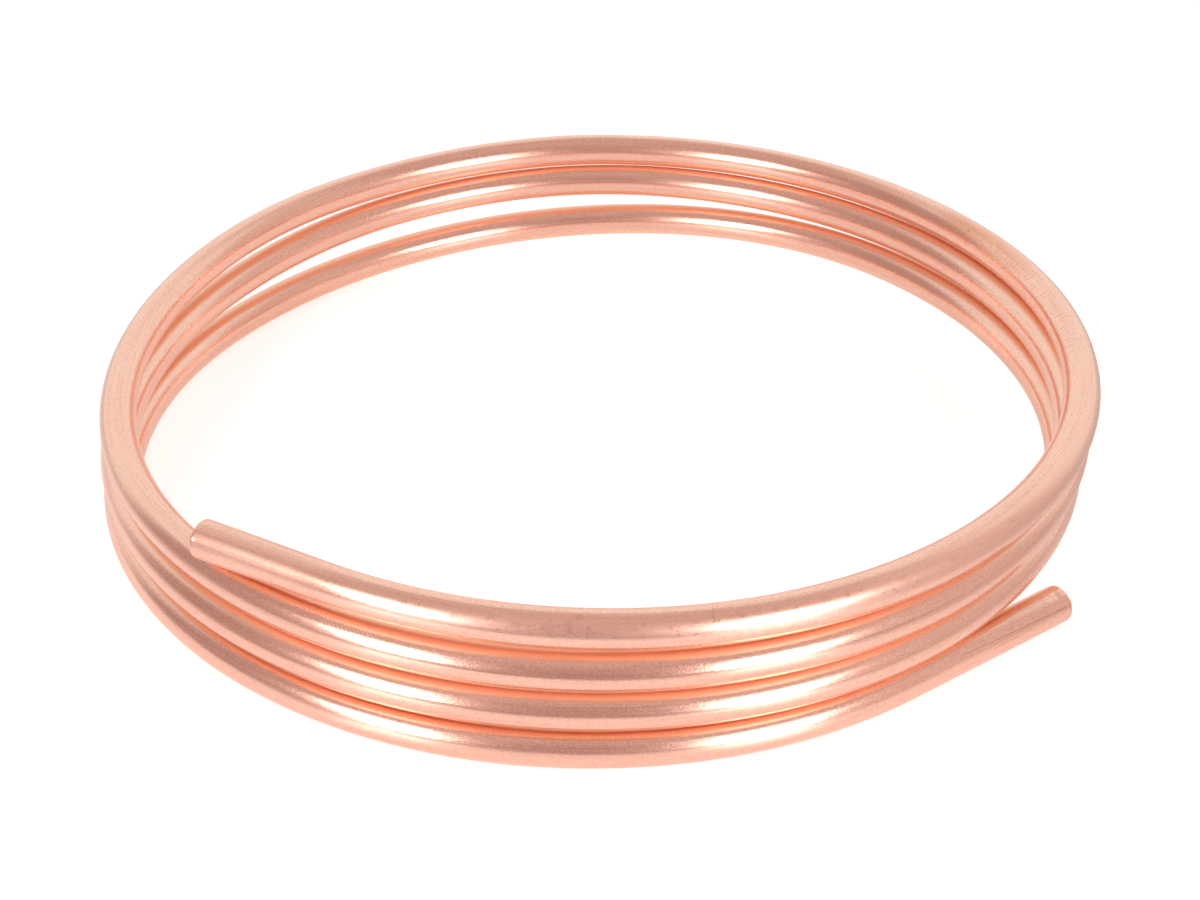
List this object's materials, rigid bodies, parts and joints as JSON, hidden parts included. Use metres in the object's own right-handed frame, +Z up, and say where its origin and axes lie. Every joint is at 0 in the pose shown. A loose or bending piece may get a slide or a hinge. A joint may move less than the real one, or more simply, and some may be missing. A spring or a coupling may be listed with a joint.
{
  "type": "copper tube coil",
  "caption": "Length of soft round copper tube wound into an open coil that lies flat, with two plain cut ends.",
  "frame": {"origin": "on the floor, under the middle of the coil's bounding box", "axes": "+Z up out of the floor, along the coil's own axis; both cut ends lie on the -Y side, the top end towards -X and the tail towards +X"},
  "size_m": [0.2782, 0.2797, 0.042],
  "materials": {
    "copper": "bright drawn and soft annealed copper, satin, with fine draw lines"
  },
  "bodies": {
    "root": {"copper_tube": "copper"}
  },
  "joints": []
}
